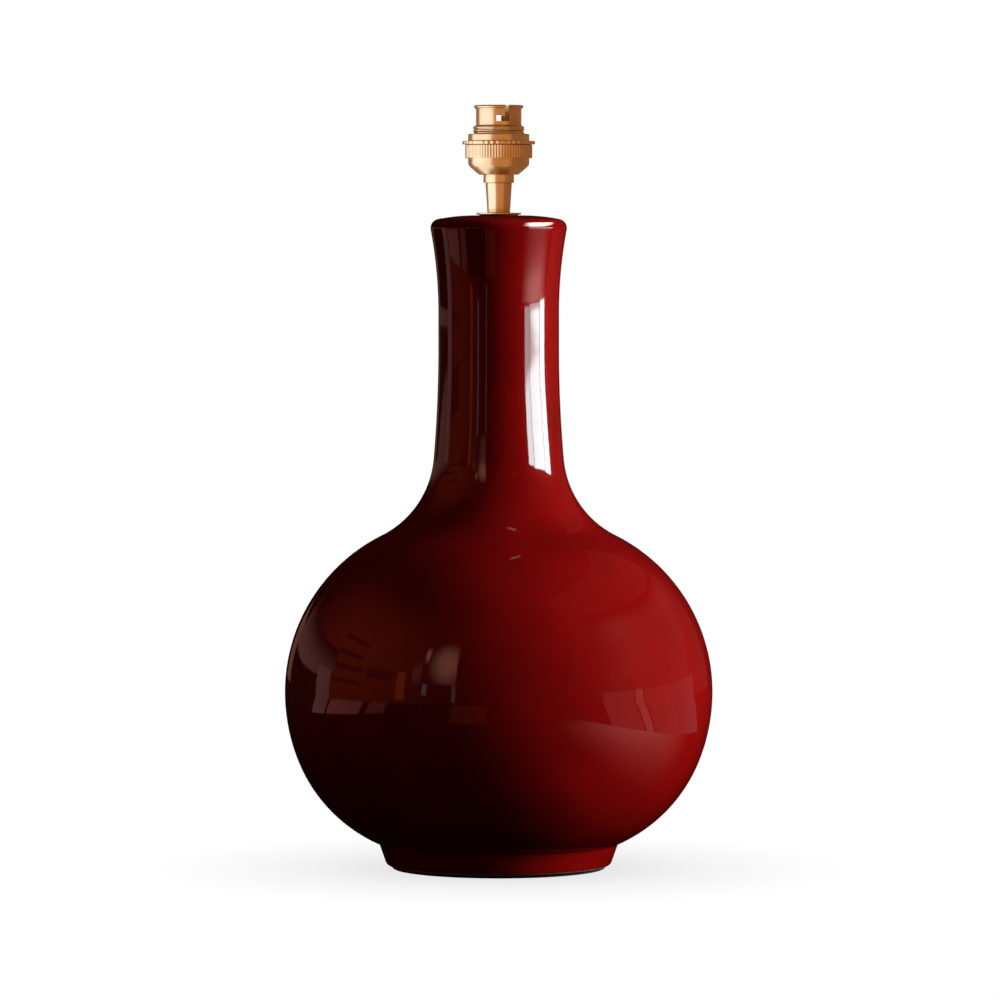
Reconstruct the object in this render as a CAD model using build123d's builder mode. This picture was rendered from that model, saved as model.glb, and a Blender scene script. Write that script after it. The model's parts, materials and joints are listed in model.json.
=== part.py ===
from build123d import *

import math
import os

# A glazed ceramic bottle table lamp base with a brass neck fitting and a bayonet lampholder.
# Millimetres, +Z up. The origin is on the table, under the middle of the foot, and the cord side is +Y.

# Driving sizes of the whole lamp base
TOTAL_H = 410.0
BODY_R = 115.0
FELT_T = 1.5

# Outline of the bottle: arcs that run into each other, with heights above the table
EQUATOR_Z = 95.0
UPPER_ARC_R = 94.0
SHOULDER_ARC_R = 51.0
WAIST_R = 32.4
WAIST_Z = 280.0
NECK_ARC_R = 690.0
FLARE_Z = 299.0
FLARE_ARC_R = 240.0
LOWER_ARC_R = 99.5
LOWER_TURN = 22.0
FOOT_ARC_R = 82.0

# Mouth of the bottle, closed by a low crown with a flat seat for the brass washer
CROWN_Z = 351.0
CROWN_EDGE_Z = 348.0
CROWN_T = 8.0
SEAT_R = 12.8
LIP_ARC_R = 5.0

# Foot ring, the recess under it and the floor of the bottle
FOOT_TOP_Z = 13.2
FOOT_BASE_R = 60.2
FOOT_EDGE = 2.2
RECESS_R = 52.0
RECESS_TOP_R = 50.5
FLOOR_Z = 14.0
FLOOR_T = 6.0
WALL_T = 5.5
INSIDE_STEP = 23.0
FELT_R = 57.4

# Threaded tube that clamps the lamp together, and what it passes through
ROD_R = 5.0
ROD_BORE_R = 3.5
ROD_BOTTOM_Z = 3.2
ROD_TOP_Z = 375.6
ROD_HOLE_R = 5.75
THREAD_GAP = 0.05
ROD_CHAMFER = 0.5
WIREWAY_Z = 48.0
WIREWAY_R = 3.0

# Stack under the floor, from the floor downwards
BASE_GASKET_R = 18.0
BASE_GASKET_T = 2.0
BASE_WASHER_R = 20.0
BASE_WASHER_T = 2.0
LOCK_WASHER_R = 9.0
LOCK_WASHER_T = 1.0
LOCK_TOOTH_N = 12
NUT_FLATS = 14.0
NUT_T = 4.0
NUT_CHAMFER = 0.8
LOCK_GAP_L = 4.0
LOCK_GAP_W = 1.6
WASHER_GAP = 0.15

# Bushes that stop the ends of the tube cutting the flex
END_BUSH_FLANGE_R = 4.9
END_BUSH_FLANGE_T = 0.8
END_BUSH_SLEEVE_L = 6.0
END_BUSH_BORE_R = 2.9

# Cord inlet in the back of the body, square to the glaze
INLET_Z = 40.0
INLET_HOLE_R = 5.4
INLET_BORE_R = 3.7
INLET_SLEEVE_BORE_R = 4.3
INLET_FLANGE_R = 8.0
INLET_FLANGE_T = 2.2
INLET_NOSE_R = 5.6
INLET_NOSE_L = 5.0
INLET_NOSE_TAPER = 6.0
INLET_FLANGE_EDGE = 0.8
INLET_SEAT_DROP = 0.5
INLET_SEAT_GAP = 0.6
INLET_HOLE_GAP = 0.1
INLET_SLEEVE_L = 7.0
INLET_SNAP_R = 6.0
INLET_SNAP_L = 2.5
INLET_SNAP_TAPER = 15.0

# Brass pieces on the crown
NECK_GASKET_R = 10.5
NECK_GASKET_T = 0.4
NECK_WASHER_R = 12.0
NECK_WASHER_T = 1.0
NECK_WASHER_EDGE = 0.25
STEM_BASE_R = 6.1
STEM_FLARE = 3.6
STEM_H = 16.0
STEM_EDGE = 0.4

# Lampholder cap: a collar that screws on the tube, then a cup with a sloping foot
COLLAR_R = 8.2
COLLAR_H = 4.4
CUP_R = 16.4
CUP_SLOPE_R = 10.6
CUP_SLOPE_H = 5.0
CUP_T = 1.2
CUP_WALL_H = 7.2
GRUB_R = 1.5
GRUB_SINK = 0.3

# Union ring that holds the shell and the insulator down on the cap
UNION_R = 18.0
UNION_REACH = 3.4
UNION_LIP_T = 1.2
UNION_BORE_R = 14.0
UNION_EDGE = 0.4

# Bayonet shell, one wall thickness throughout, with a thread for the shade ring
SHELL_T = 0.9
SHELL_FLANGE_R = 16.2
SHELL_FLANGE_T = 1.0
SHELL_THREAD_R = 13.75
SHELL_STEP_Z = 398.2
SHELL_STEP_H = 1.2
SHELL_STEP_DROP = 0.3
SOCKET_R = 11.25
LIP_BEAD_R = 13.3
LIP_BEAD_H = 1.8
LIP_BEAD_EDGE = 0.5
SOCKET_EDGE = 0.3

# Bayonet slots, one each side
SLOT_W = 2.6
SLOT_DEPTH = 8.7
SLOT_TURN = 22.0
SLOT_NOTCH_H = 1.1
SLOT_CUT_L = 6.0

# Shade ring
SHADE_RING_R = 19.5
SHADE_RING_FLANGE_T = 1.8
SHADE_RING_COLLAR_R = 16.4
SHADE_RING_H = 5.6
SHADE_RING_GAP = 0.15
SHADE_RING_LIFT = 0.2

# Porcelain insulator and its contacts
INSULATOR_FLANGE_T = 1.6
INSULATOR_LOW_R = 14.7
INSULATOR_LOW_L = 6.0
INSULATOR_TOP_R = 12.5
INSULATOR_TOP_Z = 394.4
INSULATOR_EDGE = 0.6
CONTACT_X = 6.8
PLUNGER_R = 2.1
PLUNGER_TIP_Z = 398.8
PLUNGER_TIP_R = 1.2
PLUNGER_TIP_H = 0.7
PLUNGER_FIT = 0.1
PLUNGER_COLLAR_R = 2.9
PLUNGER_COLLAR_T = 1.2
PLUNGER_STOP_Z = 390.0
PLUNGER_STOP_GAP = 0.1
PLUNGER_TAIL_R = 1.0
PLUNGER_TAIL_L = 2.2
CHAMBER_R = 3.1
TERMINAL_T = 1.2
TERMINAL_PLUG_L = 2.5
TERMINAL_W = 6.4
TERMINAL_SCREW_Y = 7.0
TERMINAL_SCREW_R = 1.3
SCREW_HEAD_R = 2.2
SCREW_HEAD_T = 1.6
SCREW_SLOT = 0.7
SCREW_HOLE_L = 4.5
SPRING_R = 2.2
SPRING_WIRE_R = 0.25
SPRING_WIRE_SIDES = 6
SPRING_TURNS = 4
SPRING_END_GAP = 0.05
EARTH_SCREW_Y = -7.3
EARTH_SCREW_HEAD_R = 1.9

# Heights that follow from the sizes above
NECK_WASHER_Z = CROWN_Z + NECK_GASKET_T
STEM_Z = NECK_WASHER_Z + NECK_WASHER_T
CAP_Z = STEM_Z + STEM_H
CUP_Z = CAP_Z + COLLAR_H
CUP_TOP_Z = CUP_Z + CUP_SLOPE_H + CUP_WALL_H
SHELL_Z = CUP_TOP_Z + INSULATOR_FLANGE_T
UNION_TOP_Z = SHELL_Z + SHELL_FLANGE_T + UNION_LIP_T
INSULATOR_Z = CUP_TOP_Z - INSULATOR_LOW_L
CHAMBER_Z = INSULATOR_Z + TERMINAL_PLUG_L

# Centres of the outline's arcs in the half-section, as radius and height
UPPER_C = Vector(BODY_R - UPPER_ARC_R, EQUATOR_Z)
LOWER_C = Vector(BODY_R - LOWER_ARC_R, EQUATOR_Z)
FOOT_C = LOWER_C + Vector(LOWER_ARC_R - FOOT_ARC_R, 0).rotate(Axis.Z, -LOWER_TURN)
NECK_C = Vector(WAIST_R + NECK_ARC_R, WAIST_Z)
FLARE_C = Vector(WAIST_R + FLARE_ARC_R, FLARE_Z)


def meeting_point(centre_a, reach_a, centre_b, reach_b):
    """The point at reach_a from centre_a and reach_b from centre_b, to the left of the line from a to b."""
    across = centre_b - centre_a
    along = (reach_a**2 - reach_b**2 + across.length**2) / (2 * across.length)
    aside = math.sqrt(reach_a**2 - along**2)
    ahead = across.normalized()
    return centre_a + ahead * along + ahead.rotate(Axis.Z, 90) * aside


def heading(start, end):
    """Angle in degrees of the line from start to end in the half-section, from 0 to 360."""
    return math.degrees(math.atan2(end.Y - start.Y, end.X - start.X)) % 360


def bottle_side(inset, low_z, high_z):
    """The arcs of the bottle's side from low_z up to high_z, moved in by inset."""
    shoulder_c = meeting_point(
        UPPER_C, UPPER_ARC_R + SHOULDER_ARC_R, NECK_C, NECK_ARC_R - SHOULDER_ARC_R
    )
    low_angle = math.degrees(math.asin((low_z - FOOT_C.Y) / (FOOT_ARC_R - inset)))
    shoulder_angle = heading(UPPER_C, shoulder_c)
    neck_angle = heading(NECK_C, shoulder_c)
    flare_turn = math.degrees(math.asin((high_z - FLARE_Z) / (FLARE_ARC_R + inset)))
    shoulder_turn = neck_angle - shoulder_angle - 180
    turns = [
        (FOOT_C, FOOT_ARC_R - inset, low_angle, -LOWER_TURN - low_angle),
        (LOWER_C, LOWER_ARC_R - inset, -LOWER_TURN, LOWER_TURN),
        (UPPER_C, UPPER_ARC_R - inset, 0, shoulder_angle),
        (shoulder_c, SHOULDER_ARC_R + inset, shoulder_angle + 180, shoulder_turn),
        (NECK_C, NECK_ARC_R + inset, neck_angle, 180 - neck_angle),
        (FLARE_C, FLARE_ARC_R + inset, 180, -flare_turn),
    ]
    return [CenterArc(*turn, mode=Mode.PRIVATE) for turn in turns]


def stepped(arc):
    """Points along an arc at even turns of about INSIDE_STEP, without its end."""
    steps = math.ceil(arc.length / arc.radius / math.radians(INSIDE_STEP))
    return [arc @ (step / steps) for step in range(steps)]


def save(part, name):
    """Labels a finished piece and writes it under that name."""
    part.label = name
    export_step(part, f"parts/{name}.step")


def disc(name, low_z, height, radius, bore):
    """A plain round washer, pad or gasket, written under its name."""
    with BuildPart() as piece:
        with BuildSketch(Plane.XY.offset(low_z)):
            Circle(radius)
            if bore:
                Circle(bore, mode=Mode.SUBTRACT)
        extrude(amount=height)
    save(piece.part, name)


os.makedirs("parts", exist_ok=True)

# The inlet's plane lies on the glaze at the back, facing out and down
inlet_drop = math.degrees(math.asin((FOOT_C.Y - INLET_Z) / FOOT_ARC_R))
inlet_y = FOOT_C.X + FOOT_ARC_R * math.cos(math.radians(inlet_drop))
inlet_out = Vector(0, 1, 0).rotate(Axis.X, -inlet_drop)
inlet_plane = Plane(origin=(0, inlet_y, INLET_Z), x_dir=(1, 0, 0), z_dir=inlet_out)
inlet_seat = inlet_plane.offset(-INLET_SEAT_DROP)

# Ceramic bottle: a slip-cast shell with a closed crown, a foot ring and a recessed floor.
# Its inside follows the outside in straight steps, and the cord inlet has a flat seat.
with BuildPart() as ceramic_body:
    with BuildSketch(Plane.XZ) as outside:
        with BuildLine():
            side = bottle_side(0, FOOT_TOP_Z, CROWN_EDGE_Z)
            add(side)
            Line(side[-2] @ 1, side[-1] @ 0)
            side_low = side[0] @ 0
            side_high = side[-1] @ 1
            TangentArc((SEAT_R, CROWN_Z), side_high, tangent=(1, 0))
            Polyline(
                (SEAT_R, CROWN_Z), (0, CROWN_Z), (0, FELT_T), (FOOT_BASE_R, FELT_T), side_low
            )
        make_face()
        fillet(outside.vertices().sort_by_distance(side_high)[0], LIP_ARC_R)
        chamfer(outside.vertices().sort_by_distance((FOOT_BASE_R, FELT_T))[0], FOOT_EDGE)
    revolve(axis=Axis.Z)
    with BuildSketch(Plane.XZ):
        with BuildLine():
            inner_arcs = bottle_side(WALL_T, FLOOR_Z + FLOOR_T, CROWN_Z - CROWN_T)
            inner_points = [point for arc in inner_arcs for point in stepped(arc)]
            Polyline(
                (0, FLOOR_Z + FLOOR_T),
                *inner_points,
                inner_arcs[-1] @ 1,
                (0, CROWN_Z - CROWN_T),
                close=True,
            )
        make_face()
    revolve(axis=Axis.Z, mode=Mode.SUBTRACT)
    with BuildSketch(Plane.XZ):
        with BuildLine():
            Polyline(
                (0, FELT_T), (RECESS_R, FELT_T), (RECESS_TOP_R, FLOOR_Z), (0, FLOOR_Z), close=True
            )
        make_face()
    revolve(axis=Axis.Z, mode=Mode.SUBTRACT)
    with Locations((0, 0, CROWN_Z)):
        Hole(ROD_HOLE_R)
    with BuildSketch(inlet_seat):
        Circle(INLET_FLANGE_R + INLET_SEAT_GAP)
    extrude(amount=2 * INLET_SEAT_DROP, mode=Mode.SUBTRACT)
    with BuildSketch(inlet_seat):
        Circle(INLET_HOLE_R)
    extrude(amount=-3 * WALL_T, mode=Mode.SUBTRACT)
save(ceramic_body.part, "ceramic_body")

# Cord bush: a flange on its seat, a nose outside and a sleeve that snaps behind the wall
with BuildPart() as cord_bush:
    with BuildSketch(inlet_seat):
        Circle(INLET_FLANGE_R)
    extrude(amount=INLET_FLANGE_T)
    chamfer(cord_bush.faces().sort_by(Axis(inlet_seat.origin, inlet_out))[-1].edges(), INLET_FLANGE_EDGE)
    with BuildSketch(inlet_seat.offset(INLET_FLANGE_T)):
        Circle(INLET_NOSE_R)
    extrude(amount=INLET_NOSE_L, taper=INLET_NOSE_TAPER)
    with BuildSketch(inlet_seat):
        Circle(INLET_HOLE_R - INLET_HOLE_GAP)
    extrude(amount=-INLET_SLEEVE_L)
    with BuildSketch(inlet_seat.offset(-INLET_SLEEVE_L)):
        Circle(INLET_SNAP_R)
    extrude(amount=-INLET_SNAP_L, taper=INLET_SNAP_TAPER)
    with BuildSketch(inlet_seat.offset(INLET_FLANGE_T + INLET_NOSE_L)):
        Circle(INLET_BORE_R)
    extrude(amount=-INLET_FLANGE_T - INLET_NOSE_L, mode=Mode.SUBTRACT)
    with BuildSketch(inlet_seat):
        Circle(INLET_SLEEVE_BORE_R)
    extrude(amount=-INLET_SLEEVE_L - INLET_SNAP_L, mode=Mode.SUBTRACT)
save(cord_bush.part, "cord_bush")

# Felt pad under the foot ring, on which the lamp stands
disc("base_felt", 0, FELT_T, FELT_R, 0)

# Clamping stack under the floor
base_washer_z = FLOOR_Z - BASE_GASKET_T - BASE_WASHER_T
lock_washer_z = base_washer_z - LOCK_WASHER_T
nut_z = lock_washer_z - NUT_T
disc("base_gasket", FLOOR_Z - BASE_GASKET_T, BASE_GASKET_T, BASE_GASKET_R, ROD_HOLE_R)
disc("base_washer", base_washer_z, BASE_WASHER_T, BASE_WASHER_R, ROD_R + WASHER_GAP)

with BuildPart() as base_lock_washer:
    with BuildSketch(Plane.XY.offset(lock_washer_z)):
        Circle(LOCK_WASHER_R)
        Circle(ROD_R + WASHER_GAP, mode=Mode.SUBTRACT)
        with PolarLocations(LOCK_WASHER_R, LOCK_TOOTH_N):
            Rectangle(LOCK_GAP_L, LOCK_GAP_W, mode=Mode.SUBTRACT)
    extrude(amount=LOCK_WASHER_T)
save(base_lock_washer.part, "base_lock_washer")

with BuildPart() as base_nut:
    with BuildSketch(Plane.XY.offset(nut_z)):
        RegularPolygon(NUT_FLATS / 2, 6, major_radius=False)
    extrude(amount=NUT_T)
    with BuildSketch(Plane.XZ):
        with BuildLine():
            nut_corner_r = NUT_FLATS / math.sqrt(3)
            Polyline(
                (0, nut_z),
                (nut_corner_r - NUT_CHAMFER, nut_z),
                (nut_corner_r, nut_z + NUT_CHAMFER / 2),
                (nut_corner_r, nut_z + NUT_T),
                (0, nut_z + NUT_T),
                close=True,
            )
        make_face()
    revolve(axis=Axis.Z, mode=Mode.INTERSECT)
    with Locations((0, 0, nut_z + NUT_T)):
        Hole(ROD_R + THREAD_GAP)
save(base_nut.part, "base_nut")

# Hollow threaded tube with a side hole where the flex goes in, and a bush in each of its ends
with BuildPart() as threaded_rod:
    with BuildSketch(Plane.XY.offset(ROD_BOTTOM_Z)):
        Circle(ROD_R)
    extrude(amount=ROD_TOP_Z - ROD_BOTTOM_Z)
    chamfer(threaded_rod.edges(), ROD_CHAMFER)
    with Locations((0, 0, ROD_TOP_Z)):
        Hole(ROD_BORE_R)
    with BuildSketch(Plane(origin=(0, 0, WIREWAY_Z), x_dir=(1, 0, 0), z_dir=(0, 1, 0))):
        Circle(WIREWAY_R)
    extrude(amount=2 * ROD_R, mode=Mode.SUBTRACT)
save(threaded_rod.part, "threaded_rod")

rod_ends = [Plane.XY.offset(ROD_TOP_Z), Plane(origin=(0, 0, ROD_BOTTOM_Z), z_dir=(0, 0, -1))]

with BuildPart() as rod_end_bushes:
    for end_plane in rod_ends:
        with BuildSketch(end_plane):
            Circle(END_BUSH_FLANGE_R)
        extrude(amount=END_BUSH_FLANGE_T)
        with BuildSketch(end_plane):
            Circle(ROD_BORE_R - THREAD_GAP)
        extrude(amount=-END_BUSH_SLEEVE_L)
        with BuildSketch(end_plane.offset(END_BUSH_FLANGE_T)):
            Circle(END_BUSH_BORE_R)
        extrude(amount=-END_BUSH_FLANGE_T - END_BUSH_SLEEVE_L, mode=Mode.SUBTRACT)
save(rod_end_bushes.part, "rod_end_bushes")

# Fibre washer, brass washer and tapered brass stem on the crown
disc("neck_gasket", CROWN_Z, NECK_GASKET_T, NECK_GASKET_R, ROD_HOLE_R)

with BuildPart() as neck_washer:
    with BuildSketch(Plane.XY.offset(NECK_WASHER_Z)):
        Circle(NECK_WASHER_R)
        Circle(ROD_R + WASHER_GAP, mode=Mode.SUBTRACT)
    extrude(amount=NECK_WASHER_T)
    washer_edges = neck_washer.edges().filter_by(GeomType.CIRCLE).sort_by(SortBy.RADIUS)
    chamfer(washer_edges[-2:], NECK_WASHER_EDGE)
save(neck_washer.part, "neck_washer")

with BuildPart() as brass_stem:
    with BuildSketch(Plane.XZ) as stem_half:
        with BuildLine():
            stem_top_r = STEM_BASE_R + STEM_H * math.tan(math.radians(STEM_FLARE))
            Polyline(
                (ROD_R + WASHER_GAP, STEM_Z),
                (STEM_BASE_R, STEM_Z),
                (stem_top_r, CAP_Z),
                (ROD_R + WASHER_GAP, CAP_Z),
                close=True,
            )
        make_face()
        chamfer(stem_half.vertices().sort_by(Axis.X)[-2:], STEM_EDGE)
    revolve(axis=Axis.Z)
save(brass_stem.part, "brass_stem")

# Lampholder cap: collar on the tube and a cup, with a cross hole for its locking screw
grub_plane = Plane(origin=(0, COLLAR_R, CAP_Z + COLLAR_H / 2), x_dir=(1, 0, 0), z_dir=(0, 1, 0))
earth_plane = Plane.XY.offset(CUP_Z + CUP_T)

with BuildPart() as holder_cap:
    with BuildSketch(Plane.XZ) as cap_half:
        with BuildLine():
            cup_floor_z = CUP_Z + CUP_T
            slope_top_z = CUP_Z + CUP_SLOPE_H
            Polyline(
                (ROD_R + THREAD_GAP, CAP_Z),
                (COLLAR_R, CAP_Z),
                (COLLAR_R, CUP_Z),
                (CUP_SLOPE_R, CUP_Z),
                (CUP_R, slope_top_z),
                (CUP_R, CUP_TOP_Z),
                (CUP_R - CUP_T, CUP_TOP_Z),
                (CUP_R - CUP_T, slope_top_z),
                (CUP_SLOPE_R, cup_floor_z),
                (ROD_R + THREAD_GAP, cup_floor_z),
                close=True,
            )
        make_face()
        chamfer(cap_half.vertices().sort_by_distance((COLLAR_R, CAP_Z))[0], STEM_EDGE)
    revolve(axis=Axis.Z)
    with BuildSketch(grub_plane):
        Circle(GRUB_R)
    extrude(amount=-(COLLAR_R - ROD_R), mode=Mode.SUBTRACT)
    with BuildSketch(earth_plane):
        with Locations((0, EARTH_SCREW_Y)):
            Circle(TERMINAL_SCREW_R)
    extrude(amount=-CUP_T, mode=Mode.SUBTRACT)
save(holder_cap.part, "holder_cap")

with BuildPart() as cap_grub_screw:
    with BuildSketch(grub_plane.offset(-GRUB_SINK)):
        Circle(GRUB_R - THREAD_GAP)
    extrude(amount=-(COLLAR_R - ROD_R - GRUB_SINK - THREAD_GAP))
    with BuildSketch(grub_plane.offset(-GRUB_SINK)):
        Rectangle(2 * GRUB_R, SCREW_SLOT)
    extrude(amount=-SCREW_SLOT, mode=Mode.SUBTRACT)
save(cap_grub_screw.part, "cap_grub_screw")


def cheese_head_screws(name, seat, spots, head_r, shank_l):
    """Slotted screws whose heads stand on a plane and whose shanks go down through it."""
    with BuildPart() as screws:
        with BuildSketch(seat):
            with Locations(*spots):
                Circle(head_r)
        extrude(amount=SCREW_HEAD_T)
        with BuildSketch(seat.offset(SCREW_HEAD_T)):
            with Locations(*spots):
                Rectangle(2 * head_r, SCREW_SLOT)
        extrude(amount=-SCREW_SLOT, mode=Mode.SUBTRACT)
        with BuildSketch(seat):
            with Locations(*spots):
                Circle(TERMINAL_SCREW_R - THREAD_GAP)
        extrude(amount=-shank_l)
    save(screws.part, name)


cheese_head_screws("earth_screw", earth_plane, [(0, EARTH_SCREW_Y)], EARTH_SCREW_HEAD_R, CUP_T)

# Porcelain insulator: a flange held between cup and shell, and two stepped bores for the contacts
contact_spots = [(-CONTACT_X, 0), (CONTACT_X, 0)]
screw_spots = [(-CONTACT_X, TERMINAL_SCREW_Y), (CONTACT_X, -TERMINAL_SCREW_Y)]

with BuildPart() as holder_insulator:
    with BuildSketch(Plane.XY.offset(INSULATOR_Z)):
        Circle(INSULATOR_LOW_R)
    extrude(amount=INSULATOR_LOW_L)
    with BuildSketch(Plane.XY.offset(CUP_TOP_Z)):
        Circle(SHELL_FLANGE_R)
    extrude(amount=INSULATOR_FLANGE_T)
    with BuildSketch(Plane.XY.offset(SHELL_Z)):
        Circle(INSULATOR_TOP_R)
    extrude(amount=INSULATOR_TOP_Z - SHELL_Z)
    chamfer(holder_insulator.faces().sort_by(Axis.Z)[-1].edges(), INSULATOR_EDGE)
    with BuildSketch(Plane.XY.offset(INSULATOR_TOP_Z)):
        with Locations(*contact_spots):
            Circle(PLUNGER_R + PLUNGER_FIT)
    extrude(amount=PLUNGER_STOP_Z - INSULATOR_TOP_Z, mode=Mode.SUBTRACT)
    with BuildSketch(Plane.XY.offset(INSULATOR_Z)):
        with Locations(*contact_spots):
            Circle(CHAMBER_R)
    extrude(amount=PLUNGER_STOP_Z - INSULATOR_Z, mode=Mode.SUBTRACT)
    with BuildSketch(Plane.XY.offset(INSULATOR_Z)):
        with Locations(*screw_spots):
            Circle(TERMINAL_SCREW_R)
    extrude(amount=SCREW_HOLE_L, mode=Mode.SUBTRACT)
save(holder_insulator.part, "holder_insulator")


def biarc(start, start_way, end, end_way):
    """Two tangent arcs from start to end, leaving and arriving along the given directions."""
    across = end - start
    lean = across.dot(start_way + end_way)
    turn = 2 * (1 - start_way.dot(end_way))
    reach = (math.sqrt(lean**2 + turn * across.dot(across)) - lean) / turn
    before = start + start_way * reach
    after = end - end_way * reach
    middle = (before + after) * 0.5
    TangentArc(start, middle, tangent=start_way)
    TangentArc(middle, end, tangent=(after - before).normalized())


def coil_point(centre_x, low_z, rise, half_turns):
    """Place and direction on a spring's wire, after so many half turns."""
    angle = math.pi * half_turns
    spot = Vector(
        centre_x + SPRING_R * math.cos(angle),
        SPRING_R * math.sin(angle),
        low_z + rise * half_turns,
    )
    way = Vector(-SPRING_R * math.sin(angle), SPRING_R * math.cos(angle), rise / math.pi)
    return spot, way.normalized()


# One contact on each side: brass plate, plunger and spring
plunger_collar_z = PLUNGER_STOP_Z - PLUNGER_STOP_GAP - PLUNGER_COLLAR_T
spring_low_z = CHAMBER_Z + SPRING_WIRE_R + SPRING_END_GAP
spring_rise = (plunger_collar_z - SPRING_WIRE_R - SPRING_END_GAP - spring_low_z) / (2 * SPRING_TURNS)

for side, contact_spot, screw_spot in zip(("left", "right"), contact_spots, screw_spots):
    contact_x = contact_spot[0]
    with BuildPart() as contact:
        with BuildSketch(Plane.XY.offset(INSULATOR_Z)):
            with Locations((contact_x, screw_spot[1] / 2)):
                SlotCenterToCenter(TERMINAL_SCREW_Y, TERMINAL_W, rotation=90)
            with Locations(screw_spot):
                Circle(TERMINAL_SCREW_R, mode=Mode.SUBTRACT)
        extrude(amount=-TERMINAL_T)
        with BuildSketch(Plane.XY.offset(INSULATOR_Z)):
            with Locations(contact_spot):
                Circle(CHAMBER_R - THREAD_GAP)
        extrude(amount=TERMINAL_PLUG_L)
    save(contact.part, f"contact_{side}")

    with BuildPart() as plunger:
        with BuildSketch(Plane.XZ):
            with BuildLine():
                Polyline(
                    (contact_x, PLUNGER_TIP_Z),
                    (contact_x + PLUNGER_TIP_R, PLUNGER_TIP_Z),
                    (contact_x + PLUNGER_R, PLUNGER_TIP_Z - PLUNGER_TIP_H),
                    (contact_x + PLUNGER_R, plunger_collar_z + PLUNGER_COLLAR_T),
                    (contact_x + PLUNGER_COLLAR_R, plunger_collar_z + PLUNGER_COLLAR_T),
                    (contact_x + PLUNGER_COLLAR_R, plunger_collar_z),
                    (contact_x + PLUNGER_TAIL_R, plunger_collar_z),
                    (contact_x + PLUNGER_TAIL_R, plunger_collar_z - PLUNGER_TAIL_L),
                    (contact_x, plunger_collar_z - PLUNGER_TAIL_L),
                    close=True,
                )
            make_face()
        revolve(axis=Axis((contact_x, 0, 0), (0, 0, 1)))
    save(plunger.part, f"plunger_{side}")

    with BuildPart() as spring:
        with BuildLine() as wire:
            for half_turn in range(2 * SPRING_TURNS):
                low_end = coil_point(contact_x, spring_low_z, spring_rise, half_turn)
                high_end = coil_point(contact_x, spring_low_z, spring_rise, half_turn + 1)
                biarc(*low_end, *high_end)
        with BuildSketch(Plane(origin=wire.wire() @ 0, z_dir=wire.wire() % 0)):
            RegularPolygon(SPRING_WIRE_R, SPRING_WIRE_SIDES)
        sweep()
    save(spring.part, f"plunger_spring_{side}")

print("spring gap between turns, mm:", round(2 * spring_rise - 2 * SPRING_WIRE_R, 2))

terminal_plane = Plane(origin=(0, 0, INSULATOR_Z - TERMINAL_T), x_dir=(1, 0, 0), z_dir=(0, 0, -1))
terminal_spots = [(spot[0], -spot[1]) for spot in screw_spots]
cheese_head_screws("terminal_screws", terminal_plane, terminal_spots, SCREW_HEAD_R, SCREW_HOLE_L)

# Bayonet shell: flange, shade thread, step and socket, with a rolled lip and two J slots
with BuildPart() as holder_skirt:
    with BuildSketch(Plane.XZ) as shell_half:
        with BuildLine():
            socket_outer_r = SOCKET_R + SHELL_T
            shell_bore_r = SHELL_THREAD_R - SHELL_T
            bead_z = TOTAL_H - LIP_BEAD_H
            inner_step_z = SHELL_STEP_Z - SHELL_STEP_DROP
            Polyline(
                (shell_bore_r, SHELL_Z),
                (SHELL_FLANGE_R, SHELL_Z),
                (SHELL_FLANGE_R, SHELL_Z + SHELL_FLANGE_T),
                (SHELL_THREAD_R, SHELL_Z + SHELL_FLANGE_T),
                (SHELL_THREAD_R, SHELL_STEP_Z),
                (socket_outer_r, SHELL_STEP_Z + SHELL_STEP_H),
                (socket_outer_r, bead_z),
                (LIP_BEAD_R, bead_z),
                (LIP_BEAD_R, TOTAL_H),
                (SOCKET_R, TOTAL_H),
                (SOCKET_R, inner_step_z + SHELL_STEP_H),
                (shell_bore_r, inner_step_z),
                close=True,
            )
        make_face()
        for bead_corner_z in (bead_z, TOTAL_H):
            bead_corner = shell_half.vertices().sort_by_distance((LIP_BEAD_R, bead_corner_z))[0]
            chamfer(bead_corner, LIP_BEAD_EDGE)
        chamfer(shell_half.vertices().sort_by_distance((SOCKET_R, TOTAL_H))[0], SOCKET_EDGE)
    revolve(axis=Axis.Z)
    slot_floor_z = TOTAL_H - SLOT_DEPTH
    slot_half_turn = math.degrees(SLOT_W / 2 / SOCKET_R)
    slot_sweep = SLOT_TURN + slot_half_turn
    for slot_angle in (90, 270):
        lock_plane = Plane(origin=(0, 0, slot_floor_z)).rotated((0, 0, slot_angle))
        entry_plane = lock_plane.rotated((0, 0, SLOT_TURN))
        with BuildSketch(entry_plane):
            with Locations((LIP_BEAD_R, 0)):
                Rectangle(SLOT_CUT_L, SLOT_W)
        extrude(amount=SLOT_DEPTH, mode=Mode.SUBTRACT)
        with BuildSketch(lock_plane):
            with BuildLine():
                outer_cut = CenterArc((0, 0), LIP_BEAD_R, -slot_half_turn, slot_sweep)
                inner_cut = CenterArc((0, 0), SOCKET_R - SHELL_T, -slot_half_turn, slot_sweep)
                Line(outer_cut @ 0, inner_cut @ 0)
                Line(outer_cut @ 1, inner_cut @ 1)
            make_face()
        extrude(amount=SLOT_W, mode=Mode.SUBTRACT)
        with BuildSketch(lock_plane):
            with Locations((LIP_BEAD_R, 0)):
                Rectangle(SLOT_CUT_L, SLOT_W)
        extrude(amount=SLOT_W + SLOT_NOTCH_H, mode=Mode.SUBTRACT)
save(holder_skirt.part, "holder_skirt")

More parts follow.
